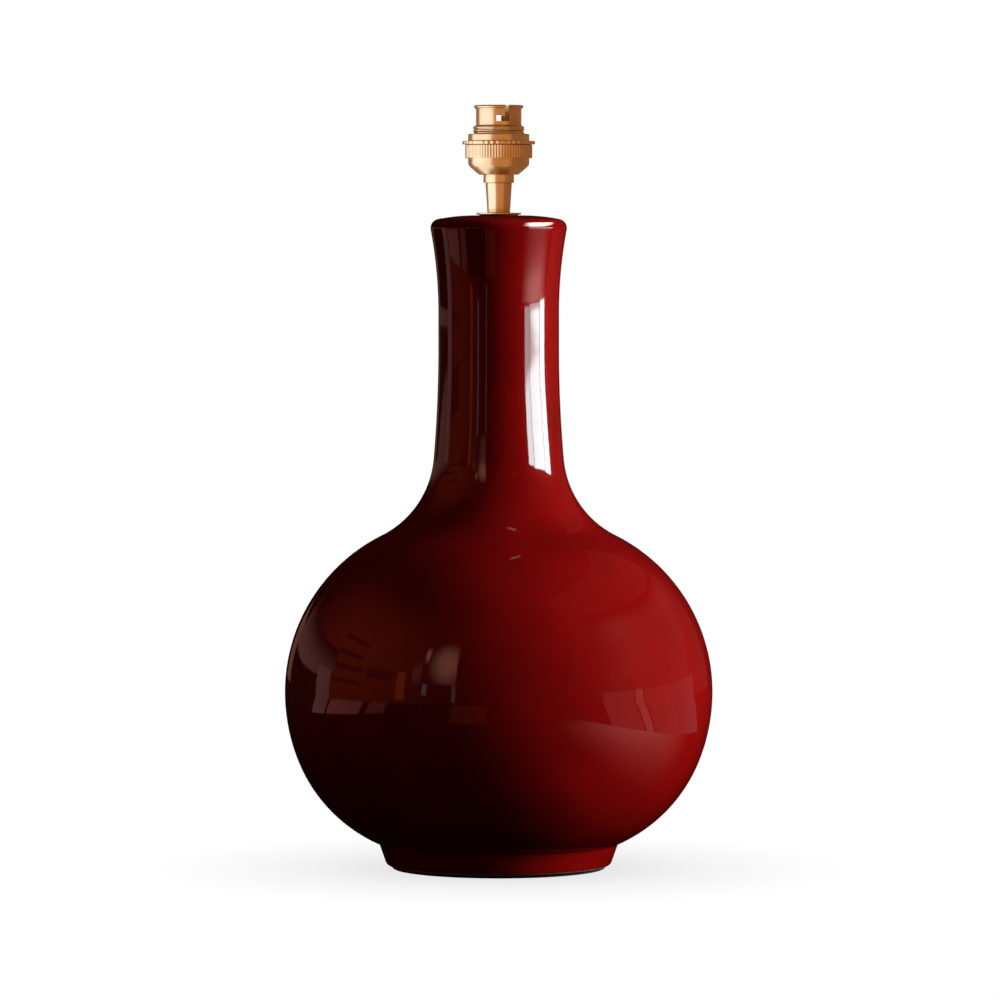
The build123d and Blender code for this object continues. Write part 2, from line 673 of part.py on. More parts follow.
# Union ring: screwed on the cup, its lip holds the shell's flange down
with BuildPart() as union_ring:
    with BuildSketch(Plane.XZ) as union_half:
        with BuildLine():
            union_low_z = CUP_TOP_Z - UNION_REACH
            union_seat_z = SHELL_Z + SHELL_FLANGE_T
            Polyline(
                (CUP_R + THREAD_GAP, union_low_z),
                (UNION_R, union_low_z),
                (UNION_R, UNION_TOP_Z),
                (UNION_BORE_R, UNION_TOP_Z),
                (UNION_BORE_R, union_seat_z),
                (CUP_R + THREAD_GAP, union_seat_z),
                close=True,
            )
        make_face()
        chamfer(union_half.vertices().sort_by(Axis.X)[-2:], UNION_EDGE)
    revolve(axis=Axis.Z)
save(union_ring.part, "union_ring")

# Shade ring: a wide flange that bears on a shade's carrier, and a collar for the thread
with BuildPart() as shade_ring:
    with BuildSketch(Plane.XZ) as ring_half:
        with BuildLine():
            ring_z = UNION_TOP_Z + SHADE_RING_LIFT
            ring_bore_r = SHELL_THREAD_R + SHADE_RING_GAP
            Polyline(
                (ring_bore_r, ring_z),
                (SHADE_RING_R, ring_z),
                (SHADE_RING_R, ring_z + SHADE_RING_FLANGE_T),
                (SHADE_RING_COLLAR_R, ring_z + SHADE_RING_FLANGE_T),
                (SHADE_RING_COLLAR_R, ring_z + SHADE_RING_H),
                (ring_bore_r, ring_z + SHADE_RING_H),
                close=True,
            )
        make_face()
        chamfer(ring_half.vertices().sort_by(Axis.X)[-2:], UNION_EDGE)
    revolve(axis=Axis.Z)
save(shade_ring.part, "shade_ring")
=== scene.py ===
import json
import math

import bmesh
import bpy
from mathutils import Matrix, Vector


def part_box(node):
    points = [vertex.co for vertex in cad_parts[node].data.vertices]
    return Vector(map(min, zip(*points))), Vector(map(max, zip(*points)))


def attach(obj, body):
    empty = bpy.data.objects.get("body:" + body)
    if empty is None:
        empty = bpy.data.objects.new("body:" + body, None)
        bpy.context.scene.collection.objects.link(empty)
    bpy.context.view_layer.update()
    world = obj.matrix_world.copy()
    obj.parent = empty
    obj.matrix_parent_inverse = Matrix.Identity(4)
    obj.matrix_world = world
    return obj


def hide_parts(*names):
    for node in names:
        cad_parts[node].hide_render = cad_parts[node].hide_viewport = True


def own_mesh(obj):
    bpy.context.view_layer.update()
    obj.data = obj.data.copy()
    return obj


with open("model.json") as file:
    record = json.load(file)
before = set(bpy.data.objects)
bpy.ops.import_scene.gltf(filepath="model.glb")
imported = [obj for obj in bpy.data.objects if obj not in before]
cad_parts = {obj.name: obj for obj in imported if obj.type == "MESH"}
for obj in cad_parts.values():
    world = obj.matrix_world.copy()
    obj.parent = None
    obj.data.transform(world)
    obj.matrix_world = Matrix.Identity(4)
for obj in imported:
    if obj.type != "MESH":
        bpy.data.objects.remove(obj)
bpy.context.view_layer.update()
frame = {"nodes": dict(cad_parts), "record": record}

mm = 0.001
tiny = 1e-6  # mm, less than this counts as nothing
crisp = math.radians(32)  # an edge that turns more than this stays crisp
scene = bpy.context.scene
scene.view_settings.view_transform = "Standard"
print("frame loaded:", len(frame["nodes"]), "nodes")


def linear(hexColour):  # sRGB hex to linear RGBA
    parts = [int(hexColour[i:i + 2], 16) / 255 for i in (1, 3, 5)]
    return [c / 12.92 if c <= 0.04045 else ((c + 0.055) / 1.055) ** 2.4 for c in parts] + [1.0]


def node(tree, kind, links=None, **settings):  # one shader node, its settings, then its inputs
    made = tree.nodes.new("ShaderNode" + kind)
    for name, value in settings.items():
        setattr(made, name, value)
    for name, value in (links or {}).items():
        if isinstance(value, bpy.types.NodeSocket):
            tree.links.new(value, made.inputs[name])
        else:
            made.inputs[name].default_value = value
    return made


def surface(name, sockets):  # a material whose Principled shader has these fixed values
    made = bpy.data.materials.new(name)
    made.use_nodes = True
    shader = made.node_tree.nodes["Principled BSDF"]
    for socket, value in sockets.items():
        shader.inputs[socket].default_value = value
    return made, made.node_tree, shader


def arc(centre, radius, start, turn, step=1.5):  # points on an arc of a half-section, degrees and mm
    count = max(2, math.ceil(abs(math.radians(turn)) * radius / step))
    angles = [math.radians(start + turn * i / count) for i in range(count + 1)]
    return [(centre[0] + radius * math.cos(a), centre[1] + radius * math.sin(a)) for a in angles]


def eased(corners, steps=5):  # closed half-section from (r, z, rounding) corners
    most = 0.48  # share of an edge that one rounding may take
    points = []
    for i, (r, z, rounding) in enumerate(corners):
        here = Vector((r, z))
        back = Vector(corners[i - 1][:2]) - here
        ahead = Vector(corners[(i + 1) % len(corners)][:2]) - here
        if not rounding:
            points.append((r, z))
            continue
        half = back.angle(ahead) / 2
        reach = min(rounding / math.tan(half), most * back.length, most * ahead.length)
        centre = here + (back.normalized() + ahead.normalized()).normalized() * reach / math.cos(half)
        first = here + back.normalized() * reach - centre
        turn = first.angle_signed(here + ahead.normalized() * reach - centre)
        for step in range(steps + 1):
            spoke = first.copy()
            spoke.rotate(Matrix.Rotation(-turn * step / steps, 2))
            points.append(tuple(centre + spoke))
    return points


def piece(name, made):  # mesh object with smooth faces and crisp edges
    bmesh.ops.recalc_face_normals(made, faces=made.faces)
    mesh = bpy.data.meshes.new(name)
    made.to_mesh(mesh)
    made.free()
    mesh.shade_smooth()
    mesh.set_sharp_from_angle(angle=crisp)
    obj = bpy.data.objects.new(name, mesh)
    scene.collection.objects.link(obj)
    return obj


def turned(name, section, facets=128, shape=None):  # half-section in mm turned about the lamp's axis
    made = bmesh.new()
    rings = []
    for i in range(facets):
        angle = math.tau * i / facets
        ring = []
        for j, (r, z) in enumerate(section):
            if shape:
                r = shape(r, z, angle)
            if r < tiny and i:
                ring.append(rings[0][j])  # the axis has one point for all rings
            else:
                ring.append(made.verts.new((r * mm * math.cos(angle), r * mm * math.sin(angle), z * mm)))
        rings.append(ring)
    for i in range(facets):
        here, there = rings[i], rings[(i + 1) % facets]
        for j in range(len(section)):
            k = (j + 1) % len(section)
            corners = dict.fromkeys((here[j], there[j], there[k], here[k]))
            if len(corners) > 2:
                made.faces.new(list(corners))
    return piece(name, made)


def prism(name, plan, low, high, turn=0):  # upright block with a plan in mm, turned about the axis
    made = bmesh.new()
    place = Matrix.Rotation(math.radians(turn), 4, "Z")
    floor = [made.verts.new(place @ Vector((x * mm, y * mm, low * mm))) for x, y in plan]
    roof = [made.verts.new(place @ Vector((x * mm, y * mm, high * mm))) for x, y in plan]
    made.faces.new(floor)
    made.faces.new(roof)
    for i in range(len(plan)):
        made.faces.new((floor[i - 1], floor[i], roof[i], roof[i - 1]))
    return piece(name, made)


def cut(obj, cutter):  # takes the cutter's shape out of the piece
    bite = obj.modifiers.new("cut", "BOOLEAN")
    bite.operation = "DIFFERENCE"
    bite.solver = "EXACT"
    bite.object = cutter
    whole = obj.data
    obj.data = bpy.data.meshes.new_from_object(obj.evaluated_get(bpy.context.evaluated_depsgraph_get()))
    obj.modifiers.clear()
    obj.data.shade_smooth()
    obj.data.set_sharp_from_angle(angle=crisp)
    bpy.data.meshes.remove(whole)
    bpy.data.objects.remove(cutter)


def span(name):  # a round CAD node's radius, lowest and highest point in mm
    low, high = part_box(name)
    return (high.x - low.x) / 2 / mm, low.z / mm, high.z / mm


def fit(obj, finish, body, slot, *stoodFor):  # finish, body, material slot and the CAD nodes it stands for; the slot is not used
    obj.data.materials.clear()
    obj.data.materials.append(finish)
    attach(obj, body)
    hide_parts(*stoodFor)
    return obj


# Finishes

def oxbloodGlaze():  # glazed earthenware, fired glossy: wet-looking wine red with a faintly rippled skin
    look = dict(
        red="#9C0E0C", pooled="#8C0B0A", thin="#A5241B", dust="#B58A80", clay="#C9B7A0",
        cloudSize=42, cloudSpan=(0.35, 0.7), lipZ=347.5, lipFade=2, lipShare=0.5, footZ=2.6, footFade=0.6,
        dustGap=9, dustRadius=0.3, dustCore=0.18, dustShare=0.5,
        smudgeSize=28, smudgeSpan=(0.45, 0.75), gloss=0.035, smudged=0.09, unglazed=0.85,
        rippleSize=24, rippleDeep=0.05, peelSize=5, peelDeep=0.004,
    )
    made, tree, shader = surface("oxblood_glaze", {"IOR": 1.5, "Coat Weight": 0.1, "Coat Roughness": 0.36})
    place = node(tree, "TexCoord").outputs["Object"]
    height = node(tree, "SeparateXYZ", {0: place}).outputs["Z"]

    # Darker where the glaze pooled, paler on the lip, a few dust specks, and bare clay under the foot
    cloud = node(tree, "TexNoise", {"Vector": place, "Scale": 1 / (look["cloudSize"] * mm), "Detail": 3.0})
    low, high = look["cloudSpan"]
    pooled = node(tree, "MapRange", {0: cloud.outputs[0], 1: low, 2: high})
    low, high = (look["lipZ"] - look["lipFade"]) * mm, (look["lipZ"] + look["lipFade"]) * mm
    thin = node(tree, "MapRange", {0: height, 1: low, 2: high, 4: look["lipShare"]})
    cells = node(tree, "TexVoronoi", {"Vector": place, "Scale": 1 / (look["dustGap"] * mm)})
    edge, core = look["dustRadius"] / look["dustGap"], look["dustCore"] / look["dustGap"]
    dust = node(tree, "MapRange", {0: cells.outputs[0], 1: edge, 2: core, 4: look["dustShare"]})
    low, high = (look["footZ"] - look["footFade"]) * mm, look["footZ"] * mm
    clay = node(tree, "MapRange", {0: height, 1: high, 2: low})
    colour = linear(look["red"])
    for name, share in dict(pooled=pooled, thin=thin, dust=dust, clay=clay).items():
        layers = {0: share.outputs[0], 6: colour, 7: linear(look[name])}
        colour = node(tree, "Mix", layers, data_type="RGBA").outputs[2]
    tree.links.new(colour, shader.inputs["Base Color"])

    # Faint smudges on the gloss, and the bare clay is matt
    smudge = node(tree, "TexNoise", {"Vector": place, "Scale": 1 / (look["smudgeSize"] * mm), "Detail": 5.0})
    low, high = look["smudgeSpan"]
    wiped = {0: smudge.outputs[0], 1: low, 2: high, 3: look["gloss"], 4: look["smudged"]}
    gloss = node(tree, "MapRange", wiped)
    matt = node(tree, "Mix", {0: clay.outputs[0], 2: gloss.outputs[0], 3: look["unglazed"]})
    tree.links.new(matt.outputs[0], shader.inputs["Roughness"])

    # A slow ripple, with a fine peel on it
    ripple = node(tree, "TexNoise", {"Vector": place, "Scale": 1 / (look["rippleSize"] * mm), "Detail": 1.0})
    rise = look["rippleDeep"] * mm
    wave = node(tree, "Bump", {"Height": ripple.outputs[0], "Strength": 1.0, "Distance": rise})
    peel = node(tree, "TexNoise", {"Vector": place, "Scale": 1 / (look["peelSize"] * mm), "Detail": 2.0})
    rise = look["peelDeep"] * mm
    fine = {"Height": peel.outputs[0], "Strength": 1.0, "Distance": rise, "Normal": wave.outputs[0]}
    tree.links.new(node(tree, "Bump", fine).outputs[0], shader.inputs["Normal"])
    return made


def turnedMetal(name, bright, dull, roughness, lineGap):  # turned or drawn: fine rings, handled patches
    look = dict(
        patchSize=11, toneSpan=(0.35, 0.75), wearSpan=(0.3, 0.7), polished=0.92, worn=1.1, lineDeep=0.006,
    )
    made, tree, shader = surface(name, {"Metallic": 1.0})
    place = node(tree, "TexCoord").outputs["Object"]
    height = node(tree, "SeparateXYZ", {0: place}).outputs["Z"]
    patch = node(tree, "TexNoise", {"Vector": place, "Scale": 1 / (look["patchSize"] * mm), "Detail": 3.0})
    low, high = look["toneSpan"]
    tone = node(tree, "MapRange", {0: patch.outputs[0], 1: low, 2: high})
    colour = node(tree, "Mix", {0: tone.outputs[0], 6: linear(bright), 7: linear(dull)}, data_type="RGBA")
    tree.links.new(colour.outputs[2], shader.inputs["Base Color"])
    low, high = look["wearSpan"]
    smooth, rough = roughness * look["polished"], roughness * look["worn"]
    wear = node(tree, "MapRange", {0: patch.outputs[0], 1: low, 2: high, 3: smooth, 4: rough})
    tree.links.new(wear.outputs[0], shader.inputs["Roughness"])
    rings = {"W": height, "Scale": 1 / (lineGap * mm), "Detail": 2.0}
    lines = node(tree, "TexNoise", rings, noise_dimensions="1D")
    groove = {"Height": lines.outputs[0], "Strength": 1.0, "Distance": look["lineDeep"] * mm}
    tree.links.new(node(tree, "Bump", groove).outputs[0], shader.inputs["Normal"])
    return made


def moulded(name, dark, pale, roughness, grainSize, depth, sheen=0.0):  # moulded or pressed, fine grain
    look = dict(ior=1.5, toneSpan=(0.35, 0.65), smooth=0.85, coarse=1.15)
    made, tree, shader = surface(name, {"IOR": look["ior"], "Sheen Weight": sheen})
    place = node(tree, "TexCoord").outputs["Object"]
    noise = node(tree, "TexNoise", {"Vector": place, "Scale": 1 / (grainSize * mm), "Detail": 4.0})
    grain = noise.outputs[0]
    low, high = look["toneSpan"]
    tone = node(tree, "MapRange", {0: grain, 1: low, 2: high})
    colour = node(tree, "Mix", {0: tone.outputs[0], 6: linear(dark), 7: linear(pale)}, data_type="RGBA")
    tree.links.new(colour.outputs[2], shader.inputs["Base Color"])
    smooth, rough = roughness * look["smooth"], min(1.0, roughness * look["coarse"])
    wear = node(tree, "MapRange", {0: grain, 3: smooth, 4: rough})
    tree.links.new(wear.outputs[0], shader.inputs["Roughness"])
    pits = node(tree, "Bump", {"Height": grain, "Strength": 1.0, "Distance": depth * mm})
    tree.links.new(pits.outputs[0], shader.inputs["Normal"])
    return made


glaze = oxbloodGlaze()
# Lacquered brass: a warm soft gleam, with turning rings drawn coarser than real so that they show
satinBrass = turnedMetal("satin_brass", "#E2BE80", "#D0A662", 0.26, 0.5)
contactBrass = turnedMetal("contact_brass", "#EBCF8C", "#D9B568", 0.18, 0.5)  # bare and turned, shinier
zincPlate = turnedMetal("zinc_plated_steel", "#C9CCCE", "#AEB0AC", 0.34, 0.9)  # cool grey, slightly cloudy
springSteel = turnedMetal("spring_steel", "#B4B5B6", "#8F9092", 0.24, 0.2)  # drawn wire, a thin bright line
blackNylon = moulded("moulded_nylon", "#17171A", "#232326", 0.42, 0.6, 0.02)  # spark-eroded mould skin
nitrile = moulded("nitrile_rubber", "#1C1C1C", "#2A2A29", 0.8, 1.4, 0.04)  # dead matt black
vulcanFibre = moulded("vulcanised_fibre", "#6E2D20", "#8A4631", 0.7, 0.9, 0.03)  # pressed paper fibre
# Clear glaze over a white body: a clean pale face with a soft shine
porcelain = moulded("electrical_porcelain", "#EDE8DD", "#F5F2EA", 0.16, 6.0, 0.01)
woolFelt = moulded("pressed_felt", "#100F10", "#2B2929", 0.95, 0.7, 0.25, 0.35)  # matted fibres, soft edge
print("finishes ready:", len(bpy.data.materials))


# Bottle

def bottleSection():  # outside, foot, recess and hollow of the cast bottle as one closed half-section
    radius, stand, crown = span("ceramic_body")
    size = dict(
        equator=95, upperArc=94, shoulderArc=51, waistRadius=32.4, waist=280, neckArc=690,
        flare=299, flareArc=240, lowerArc=99.5, lowerTurn=22, footArc=82,
        crownEdge=348, seatRadius=12.8, lipArc=5, lipStep=0.4, crownThick=8, wall=5.5, rodHole=5.75,
        footTop=13.2, footRadius=60.2, footRound=3.2, grooveRound=1.2,
        recess=52, recessTop=50.5, recessRound=0.8, floorRound=1.0, floor=14, floorThick=6,
    )

    def meeting(a, reachA, b, reachB):  # where two circles cross, left of the line from a to b
        across = b - a
        along = (reachA ** 2 - reachB ** 2 + across.length_squared) / (2 * across.length)
        ahead = across.normalized()
        return a + ahead * along + Vector((-ahead.y, ahead.x)) * math.sqrt(reachA ** 2 - along ** 2)

    def heading(a, b):
        return math.degrees(math.atan2(b.y - a.y, b.x - a.x))

    upper = Vector((radius - size["upperArc"], size["equator"]))
    lower = Vector((radius - size["lowerArc"], size["equator"]))
    turn = math.radians(size["lowerTurn"])
    foot = lower + Vector((math.cos(turn), -math.sin(turn))) * (size["lowerArc"] - size["footArc"])
    neck = Vector((size["waistRadius"] + size["neckArc"], size["waist"]))
    flare = Vector((size["waistRadius"] + size["flareArc"], size["flare"]))
    shoulder = meeting(
        upper, size["upperArc"] + size["shoulderArc"], neck, size["neckArc"] - size["shoulderArc"]
    )
    shoulderTurn = heading(upper, shoulder)
    neckTurn = heading(neck, shoulder) % 360

    edgeR = flare.x - math.sqrt(size["flareArc"] ** 2 - (size["crownEdge"] - size["flare"]) ** 2)
    drop = crown - size["crownEdge"]
    crownArc = ((edgeR - size["seatRadius"]) ** 2 + drop ** 2) / (2 * drop)
    crownC = Vector((size["seatRadius"], crown - crownArc))
    lip = meeting(crownC, crownArc - size["lipArc"], flare, size["flareArc"] + size["lipArc"])
    lipTop = heading(crownC, lip)
    lipSide = heading(lip, flare)

    def side(inset, lowZ, flareEnd):  # the bottle's side from the flare's end down to lowZ
        low = math.degrees(math.asin((lowZ - foot.y) / (size["footArc"] - inset)))
        points = arc(flare, size["flareArc"] + inset, flareEnd, 180 - flareEnd)
        points += arc(neck, size["neckArc"] + inset, 180, neckTurn - 180)
        points += arc(shoulder, size["shoulderArc"] + inset, neckTurn, shoulderTurn + 180 - neckTurn)[1:]
        points += arc(upper, size["upperArc"] - inset, shoulderTurn, -shoulderTurn)[1:]
        points += arc(lower, size["lowerArc"] - inset, 0, -size["lowerTurn"])[1:]
        points += arc(foot, size["footArc"] - inset, -size["lowerTurn"], low + size["lowerTurn"])[1:]
        return points

    outside = [(size["rodHole"], crown), (size["seatRadius"], crown)]
    outside += arc(crownC, crownArc, 90, lipTop - 90)[1:]
    outside += arc(lip, size["lipArc"], lipTop, lipSide - lipTop, size["lipStep"])[1:]
    outside += side(0, size["footTop"], lipSide + 180)[1:]
    innerTop = crown - size["crownThick"]
    innerEnd = 180 - math.degrees(math.asin((innerTop - size["flare"]) / (size["flareArc"] + size["wall"])))
    inside = side(size["wall"], size["floor"] + size["floorThick"], innerEnd)[::-1]
    corners = [(r, z, 0) for r, z in outside[:-1]] + [
        (*outside[-1], size["grooveRound"]),
        (size["footRadius"], stand, size["footRound"]),
        (size["recess"], stand, size["recessRound"]),
        (size["recessTop"], size["floor"], size["floorRound"]),
        (size["rodHole"], size["floor"], 0),
        (size["rodHole"], size["floor"] + size["floorThick"], 0),
    ]
    corners += [(r, z, 0) for r, z in inside] + [(size["rodHole"], innerTop, 0)]
    return eased(corners, steps=6)


inlet = next(m for m in frame["record"]["mounts"] if m["name"] == "cord_inlet")
inletOut = Vector(inlet["axis"])
inletSeat = Vector(inlet["pos_m"]) - inletOut * inlet["dims"]["length_mm"] / 2 * mm
inletPlace = Matrix.Translation(inletSeat) @ inletOut.to_track_quat("Z", "Y").to_matrix().to_4x4()

bottle = turned("bottle", bottleSection(), facets=224)
inletHole = dict(radius=5.4, seatRadius=8.6, seatHeight=3, depth=14)
seatR, holeR = inletHole["seatRadius"], inletHole["radius"]
drill = turned("inlet_drill", [
    (0, inletHole["seatHeight"]), (seatR, inletHole["seatHeight"]), (seatR, 0),
    (holeR, 0), (holeR, -inletHole["depth"]), (0, -inletHole["depth"]),
], facets=64)
drill.data.transform(inletPlace)
cut(bottle, drill)
fit(bottle, glaze, "lamp_base", "red_glaze", "ceramic_body")
print("bottle:", len(bottle.data.polygons), "faces")


# Felt pad: its cut edge is a little uneven

def feltPad():
    size = dict(edge=0.5, waviness=0.12, waves=((17, 0), (43, 1.3), (71, 2.1)), edgeOnly=8, rings=14)
    radius, low, high = span("base_felt")
    plan = [(radius * i / size["rings"], high) for i in range(size["rings"])]
    under = [(r, low) for r, z in plan[::-1]]
    corners = [(0, high, 0), (radius, high, size["edge"]), (radius, low, size["edge"]), (0, low, 0)]
    rim = eased(corners)[1:-1]

    def ragged(r, z, angle):
        wave = sum(math.sin(count * angle + start) for count, start in size["waves"]) / len(size["waves"])
        return r - size["waviness"] * (1 + wave) * (r / radius) ** size["edgeOnly"]
    return turned("felt_pad", plan + rim + under, facets=192, shape=ragged)


pad = fit(feltPad(), woolFelt, "lamp_base", "felt", "base_felt")


# Cord bush: drawn about its own axis with the seat at zero

def cordBush():
    size = dict(
        bore=inlet["dims"]["r_mm"], top=inlet["dims"]["length_mm"], mouth=0.5, noseTip=5.07, tipRound=0.6,
        nose=5.6, fillet=0.7, flange=8, flangeThick=2.2, flangeRound=0.9, seatEdge=0.15, sleeve=5.3,
        sleeveLong=7, sleeveBore=4.3, snap=6, snapTip=5.33, snapEdge=0.2, tail=9.5, tailEdge=0.3,
    )
    made = turned("cord_bush_moulding", eased([
        (size["bore"], size["top"], size["mouth"]), (size["noseTip"], size["top"], size["tipRound"]),
        (size["nose"], size["flangeThick"], size["fillet"]),
        (size["flange"], size["flangeThick"], size["flangeRound"]), (size["flange"], 0, size["seatEdge"]),
        (size["sleeve"], 0, 0), (size["sleeve"], -size["sleeveLong"], 0),
        (size["snap"], -size["sleeveLong"], size["snapEdge"]),
        (size["snapTip"], -size["tail"], size["tailEdge"]),
        (size["sleeveBore"], -size["tail"], size["snapEdge"]), (size["sleeveBore"], 0, 0),
        (size["bore"], 0, size["snapEdge"]),
    ]), facets=96)
    made.data.transform(inletPlace)
    return made


fit(cordBush(), blackNylon, "lamp_base", "nylon", "cord_bush")
print("felt and cord bush done")


# Brass on the crown

def neckWasher():
    size = dict(bore=5.15, edge=0.3)
    radius, low, high = span("neck_washer")
    return turned("crown_washer", eased([
        (size["bore"], low, 0), (radius, low, size["edge"]),
        (radius, high, size["edge"]), (size["bore"], high, 0),
    ]))


def stemSleeve():  # a fine turned groove runs round just above the foot
    size = dict(
        bore=5.15, foot=6.1, edge=0.35, grooveUp=1.3, grooveWide=0.35, grooveDeep=0.18, grooveEdge=0.08,
        grooveRoot=0.05,
    )
    top, low, high = span("brass_stem")
    slope = (top - size["foot"]) / (high - low)
    grooveZ = low + size["grooveUp"]
    grooveR = size["foot"] + slope * size["grooveUp"]
    return turned("stem_sleeve", eased([
        (size["bore"], low, 0), (size["foot"], low, size["edge"]), (grooveR, grooveZ, size["grooveEdge"]),
        (grooveR - size["grooveDeep"], grooveZ + size["grooveWide"] / 2, size["grooveRoot"]),
        (grooveR, grooveZ + size["grooveWide"], size["grooveEdge"]),
        (top, high, size["edge"]), (size["bore"], high, 0),
    ]))


def capCup():
    size = dict(
        bore=5.05, collar=8.2, collarTall=4.4, collarEdge=0.4, collarFillet=0.5, slopeFoot=10.6, slopeTall=5,
        footRound=1.2, bellyRound=3.2, wall=1.2, insideRound=1.0, grubHole=1.5, grubFrom=4.5, grubTo=12,
    )
    radius, low, high = span("holder_cap")
    cup = low + size["collarTall"]
    slopeTop = cup + size["slopeTall"]
    floor = cup + size["wall"]
    inner = radius - size["wall"]
    made = turned("cap_cup", eased([
        (size["bore"], low, 0), (size["collar"], low, size["collarEdge"]),
        (size["collar"], cup, size["collarFillet"]), (size["slopeFoot"], cup, size["footRound"]),
        (radius, slopeTop, size["bellyRound"]), (radius, high, 0), (inner, high, 0),
        (inner, slopeTop, size["insideRound"]), (size["slopeFoot"], floor, size["insideRound"]),
        (size["bore"], floor, 0),
    ]))
    holeR, near, far = size["grubHole"], size["grubFrom"], size["grubTo"]
    hole = turned("grub_drill", [(0, far), (holeR, far), (holeR, near), (0, near)], facets=32)
    screwLow, screwHigh = span("cap_grub_screw")[1:]
    sideways = Matrix.Rotation(math.radians(-90), 4, "X")
    hole.data.transform(Matrix.Translation((0, 0, (screwLow + screwHigh) / 2 * mm)) @ sideways)
    cut(made, hole)
    return made


def ribbed(radius, ribs, depth):  # straight knurl on the outermost surface
    runOut = 0.5  # the ribs fade over this much below the surface

    def shape(r, z, angle):
        share = max(0, min(1, (r - radius + runOut) / runOut))
        return r - depth * share * (1 - math.cos(ribs * angle)) / 2
    return shape


def unionRing():
    size = dict(bore=14, boreEdge=0.2, inner=16.45, lip=1.2, edge=0.5, ribs=72, ribFacets=6, ribDeep=0.28)
    radius, low, high = span("union_ring")
    under = high - size["lip"]
    section = eased([
        (size["inner"], low, 0), (radius, low, size["edge"]), (radius, high, size["edge"]),
        (size["bore"], high, size["boreEdge"]), (size["bore"], under, 0), (size["inner"], under, 0),
    ])
    knurl = ribbed(radius, size["ribs"], size["ribDeep"])
    return turned("union_ring_knurled", section, size["ribs"] * size["ribFacets"], knurl)


def shadeRing():
    size = dict(
        bore=13.9, boreEdge=0.2, collar=16.4, collarEdge=0.6, fillet=0.4, flange=1.8, edge=0.5,
        ribs=40, ribFacets=10, ribDeep=0.35,
    )
    radius, low, high = span("shade_ring")
    flangeTop = low + size["flange"]
    section = eased([
        (size["bore"], low, size["boreEdge"]), (radius, low, size["edge"]),
        (radius, flangeTop, size["edge"]), (size["collar"], flangeTop, size["fillet"]),
        (size["collar"], high, size["collarEdge"]), (size["bore"], high, size["boreEdge"]),
    ])
    knurl = ribbed(radius, size["ribs"], size["ribDeep"])
    return turned("shade_ring_knurled", section, size["ribs"] * size["ribFacets"], knurl)


def bayonetShell():  # rolled thread for the shade ring, rolled lip and two J slots
    size = dict(
        wall=0.9, flangeThick=1, thread=13.75, pitch=2.0, threadDeep=0.5, threadStep=0.12, runIn=0.8,
        runOut=1.2, step=398.2, stepTall=1.2, stepDrop=0.3, socket=11.25, bead=13.3, beadTall=1.8,
        beadStep=0.2, underBead=(2.8, 2.4), mouthWide=0.3, mouthSink=0.05, mouthDeep=0.4,
        slotWide=2.6, slotDeep=8.7, slotTurn=22, notch=1.1, locks=(90, 270), clear=2,
    )
    flange, low, high = span("holder_skirt")
    outer = size["socket"] + size["wall"]
    bore = size["thread"] - size["wall"]
    beadR = size["beadTall"] / 2
    threadLow = low + size["flangeThick"]
    threadTall = size["step"] - threadLow
    rows = round(threadTall / size["threadStep"])
    stepUnder = size["step"] - size["stepDrop"]
    section = [(bore, low), (flange, low), (flange, threadLow)]
    section += [(size["thread"], threadLow + threadTall * i / rows) for i in range(rows + 1)]
    section += [(outer, size["step"] + size["stepTall"])]
    section += [(outer, high - down) for down in size["underBead"]]
    section += arc((size["bead"] - beadR, high - beadR), beadR, -90, 180, size["beadStep"])
    section += [(size["socket"] + size["mouthWide"], high - size["mouthSink"])]
    section += [(size["socket"], high - size["mouthDeep"])]
    section += [(size["socket"], stepUnder + size["stepTall"]), (bore, stepUnder)]

    def thread(r, z, angle):
        if abs(r - size["thread"]) > tiny:
            return r
        fade = max(0, min(1, (z - threadLow) / size["runIn"], (size["step"] - z) / size["runOut"]))
        return r - size["threadDeep"] * fade * (1 + math.cos(math.tau * z / size["pitch"] - angle)) / 2
    made = turned("bayonet_shell", section, facets=144, shape=thread)

    slotFloor = high - size["slotDeep"]
    slotRoof = slotFloor + size["slotWide"]
    half = size["slotWide"] / 2
    halfTurn = math.degrees(half / size["socket"])
    near, far = size["socket"] - size["clear"], size["bead"] + size["clear"]
    gate = [(near, -half), (far, -half), (far, half), (near, half)]
    sweep = arc((0, 0), far, -halfTurn, size["slotTurn"] + halfTurn)
    sweep += arc((0, 0), near, size["slotTurn"], -size["slotTurn"] - halfTurn)
    for lockAngle in size["locks"]:
        cut(made, prism("slot_gate", gate, slotFloor, high + size["clear"], lockAngle + size["slotTurn"]))
        cut(made, prism("slot_sweep", sweep, slotFloor, slotRoof, lockAngle))
        cut(made, prism("slot_notch", gate, slotFloor, slotRoof + size["notch"], lockAngle))
    return made


fit(neckWasher(), satinBrass, "lamp_base", "satin_brass", "neck_washer")
fit(stemSleeve(), satinBrass, "lamp_base", "satin_brass", "brass_stem")
fit(capCup(), satinBrass, "lamp_base", "satin_brass", "holder_cap")
fit(unionRing(), satinBrass, "lamp_base", "satin_brass", "union_ring")
fit(bayonetShell(), satinBrass, "lamp_base", "satin_brass", "holder_skirt")
fit(shadeRing(), satinBrass, "shade_ring", "satin_brass", "shade_ring")
print("brass fittings done")


# Sprung contacts

